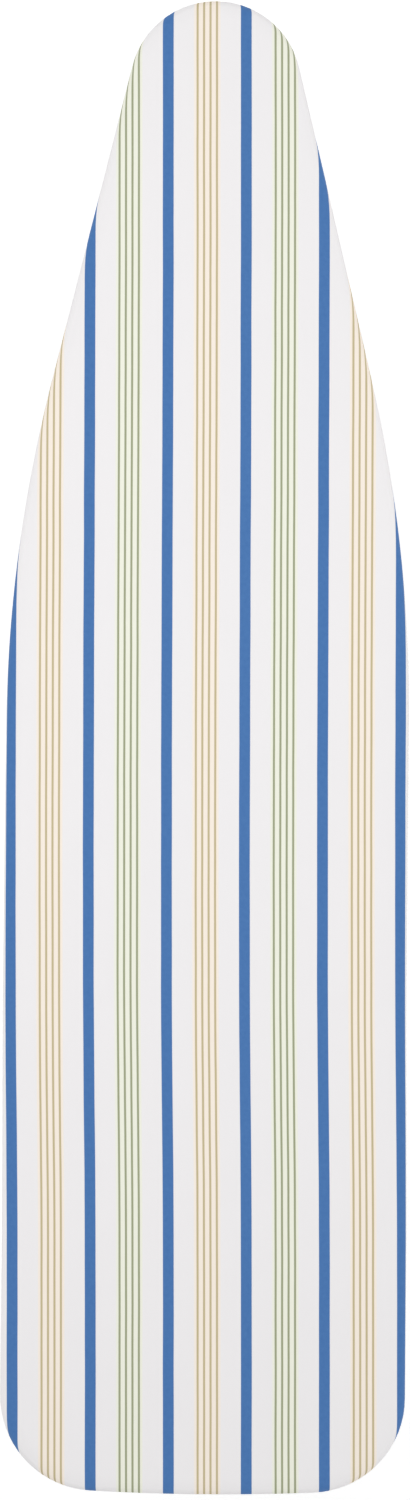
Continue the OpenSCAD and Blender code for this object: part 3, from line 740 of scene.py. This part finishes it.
# %% [markdown]
# ## Painted, plated and moulded parts
#
# The rest of the board comes from CAD and only needs its finish. The deck is sprayed with
# white enamel, which flows out almost smooth. The legs are silver powder coat, which keeps a
# fine orange peel.
# The brackets, rods and fasteners are zinc plated: a metal with a faint blue and yellow cast
# that drifts from place to place. The end caps, grips and the slide are moulded plastic.


# %% Paint
def sprayed(name, hex_code, roughness, peel_mm, depth_mm):
    """Paint: one colour, a soft shine and the bumps that spraying leaves."""
    material, tree, shader = new_material(name)
    place = place_in_mm(tree)
    peel = add_node(tree, "TexNoise", {"Vector": place, "Scale": 1 / peel_mm,
                                       "Detail": 2.0})
    bump = add_node(tree, "Bump", {"Height": peel.outputs["Fac"], "Strength": 0.3,
                                   "Distance": depth_mm * MM})
    tree.links.new(bump.outputs["Normal"], shader.inputs["Normal"])
    cloud = add_node(tree, "TexNoise", {"Vector": place, "Scale": 0.02})
    rough = add_node(tree, "MapRange", {"Value": cloud.outputs["Fac"],
                                        "To Min": roughness - 0.06, "To Max": roughness + 0.06})
    tree.links.new(rough.outputs["Result"], shader.inputs["Roughness"])
    shader.inputs["Base Color"].default_value = colour(hex_code)
    shader.inputs["Coat Weight"].default_value = 0.2
    shader.inputs["Coat Roughness"].default_value = 0.2
    return material


# %% Zinc plate
def zinc_plated(name):
    """Bright zinc: pale metal whose passivation drifts between blue and yellow."""
    material, tree, shader = new_material(name)
    place = place_in_mm(tree)
    drift = add_node(tree, "TexNoise", {"Vector": place, "Scale": 0.05,
                                        "Detail": 4.0})
    ramp = add_node(tree, "ValToRGB", {"Fac": drift.outputs["Fac"]})
    ramp.color_ramp.elements[0].position = 0.35
    ramp.color_ramp.elements[0].color = colour("#B4BAC2")
    ramp.color_ramp.elements[1].position = 0.7
    ramp.color_ramp.elements[1].color = colour("#C9C6B9")
    tree.links.new(ramp.outputs["Color"], shader.inputs["Base Color"])
    grain = add_node(tree, "TexNoise", {"Vector": place, "Scale": 1.2,
                                        "Detail": 3.0})
    rough = add_node(tree, "MapRange", {"Value": grain.outputs["Fac"], "To Min": 0.24,
                                        "To Max": 0.42})
    tree.links.new(rough.outputs["Result"], shader.inputs["Roughness"])
    shader.inputs["Metallic"].default_value = 1
    return material


# %% Moulded plastic
def moulded(name, hex_code, roughness, grain_mm):
    """Plastic from a spark-eroded mould: matt, with a fine even grain."""
    material, tree, shader = new_material(name)
    place = place_in_mm(tree)
    grain = add_node(tree, "TexNoise", {"Vector": place, "Scale": 1 / grain_mm,
                                        "Detail": 2.0})
    bump = add_node(tree, "Bump", {"Height": grain.outputs["Fac"], "Strength": 0.35,
                                   "Distance": 0.15 * MM})
    tree.links.new(bump.outputs["Normal"], shader.inputs["Normal"])
    shader.inputs["Base Color"].default_value = colour(hex_code)
    shader.inputs["Roughness"].default_value = roughness
    return material


# %% Each slot's finish, put on its CAD nodes
finishes = {
    "deck_paint": sprayed("white_enamel", "#EDEEEE", 0.32, 3.0, 0.05),
    "leg_paint": sprayed("silver_powder_coat", "#A7ABAF", 0.42, 1.2, 0.1),
    "zinc_steel": zinc_plated("bright_zinc"),
    "dark_plastic": moulded("black_polypropylene", "#232427", 0.5, 0.8),
    "nylon": moulded("grey_nylon", "#8A8D90", 0.4, 1.5),
    "cotton_cover": cotton,
    "hem_elastic": tape,
    "pad_foam": foam,
}
slot_of = {s["node"]: s["material_slot"] for s in frame["record"]["subparts"]}
for name, node in frame["nodes"].items():
    node.data.materials.clear()
    node.data.materials.append(finishes[slot_of[name]])
print("finishes on", len(frame["nodes"]), "CAD nodes")

# %% [markdown]
# ## Weld beads
#
# CAD draws the leg tubes, stretchers and foot bars as clean saddle joints. Real ones are
# welded all round, and the paint lies over the bead. A bead follows the line where two round
# tubes meet, which is easy to state: walk round the branch tube, and at each angle go out
# along its axis until the main tube's surface is reached. A small circle is extruded along
# that line, and its size pulses every 2.5 mm, as the puddles of a weld do.

# %% Sweeping a circle along a line
def swept(points, radii, hub, sides, closed):
    """A tube along points. Each ring's first corner faces away from the point hub(place)."""
    mesh = bmesh.new()
    bmesh.ops.create_circle(mesh, segments=sides, radius=1)
    number = mesh.verts.layers.int.new("number")
    for index, vert in enumerate(mesh.verts):
        vert[number] = index
    count = len(points)
    loop = first = list(mesh.edges)
    for step, place in enumerate(points):
        after = points[(step + 1) % count] if closed else points[min(step + 1, count - 1)]
        before = points[step - 1] if closed else points[max(step - 1, 0)]
        along = (after - before).normalized()
        away = place - hub(place)
        away = (away - along * away.dot(along)).normalized()
        beside = along.cross(away)

        def put_ring(vert):
            turn = math.tau * vert[number] / sides
            vert.co = place + (away * math.cos(turn) + beside * math.sin(turn)) * radii[step]

        if step:
            loop = extrude_row(mesh, loop, put_ring)
        else:
            for vert in mesh.verts:
                put_ring(vert)
    if closed:
        bmesh.ops.bridge_loops(mesh, edges=first + loop)
    else:
        bmesh.ops.holes_fill(mesh, edges=first + loop, sides=0)
    bmesh.ops.recalc_face_normals(mesh, faces=mesh.faces)
    for face in mesh.faces:
        face.smooth = True
    return mesh


# %% Weld beads on both legs
BEAD_R = 1.5 * MM
PUDDLE = 2.5 * MM
PULSE = 0.16
RINGS = 4
BEAD_SIDES = 8
ACROSS = Vector((0, 1, 0))


def middle(name):
    low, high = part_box(name)
    return (low + high) / 2


def radius_of(name):
    low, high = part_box(name)
    return (high.z - low.z) / 2


def weld(name, body, centre, main, main_r, branch, branch_r):
    """A bead where a branch tube meets a main tube; main and branch are their directions."""
    beside = main.cross(branch)
    puddles = round(math.tau * branch_r / PUDDLE)
    count = puddles * RINGS
    points, radii = [], []
    for step in range(count):
        turn = math.tau * step / count
        reach = math.sqrt(max(0, main_r ** 2 - (branch_r * math.sin(turn)) ** 2))
        points.append(centre + branch * reach
                      + (main * math.cos(turn) + beside * math.sin(turn)) * branch_r)
        radii.append(BEAD_R * (1 + PULSE * math.cos(math.tau * step / RINGS)))
    bead = swept(points, radii, lambda place: centre + branch * main_r,
                 BEAD_SIDES, True)
    return ride_object(name, bead, finishes["leg_paint"], body)


for leg, top in (("outer", "hinge_rod"), ("inner", "carriage_pins")):
    foot = middle(leg + "_foot_bar")
    up = (middle(top) - foot).normalized()
    tube_y = middle(leg + "_tube_left").y
    tube_r = radius_of(leg + "_foot_bar")
    for side_name, way in (("left", 1), ("right", -1)):
        weld(f"{leg}_foot_weld_{side_name}", leg + "_leg", foot + ACROSS * way * tube_y,
             ACROSS, tube_r, up, tube_r)
        stretcher = middle(leg + "_stretcher")
        weld(f"{leg}_stretcher_weld_{side_name}", leg + "_leg",
             stretcher + ACROSS * way * tube_y, up, tube_r, ACROSS * -way,
             radius_of(leg + "_stretcher"))

# %% [markdown]
# ## Lock spring
#
# A coil spring on the guide rod pushes the lock lever over, so that it jams. CAD stands in
# for it with a coarse twist. The same sweep makes a round wire, and the turns at both ends
# lie close together, as on any compression spring.

# %% Lock spring
WIRE_R = 0.85 * MM
TURNS = 6.5
END_PITCH = 2.1 * MM
POINTS_PER_TURN = 28
WIRE_SIDES = 10

spring_low, spring_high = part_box("lever_spring")
spring_middle = middle("lever_spring")
coil_r = (spring_high.y - spring_low.y) / 2 - WIRE_R
coil_length = spring_high.x - spring_low.x - 2 * WIRE_R
open_pitch = (coil_length - 2 * END_PITCH) / (TURNS - 2)
coil = []
for step in range(round(TURNS * POINTS_PER_TURN) + 1):
    turned = step / POINTS_PER_TURN
    wide = min(max(turned - 1, 0), TURNS - 2)
    x = spring_low.x + WIRE_R + END_PITCH * (turned - wide) + open_pitch * wide
    angle = math.tau * turned
    coil.append(Vector((x, coil_r * math.cos(angle), spring_middle.z + coil_r * math.sin(angle))))
spring_mesh = swept(coil, [WIRE_R] * len(coil),
                    lambda place: Vector((place.x, 0, spring_middle.z)), WIRE_SIDES, False)
spring = ride_object("lock_spring", spring_mesh, finishes["zinc_steel"], "slide")
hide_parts("lever_spring")
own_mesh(spring)
print("spring", round(coil_length / MM, 1), "mm long, open pitch", round(open_pitch / MM, 2))
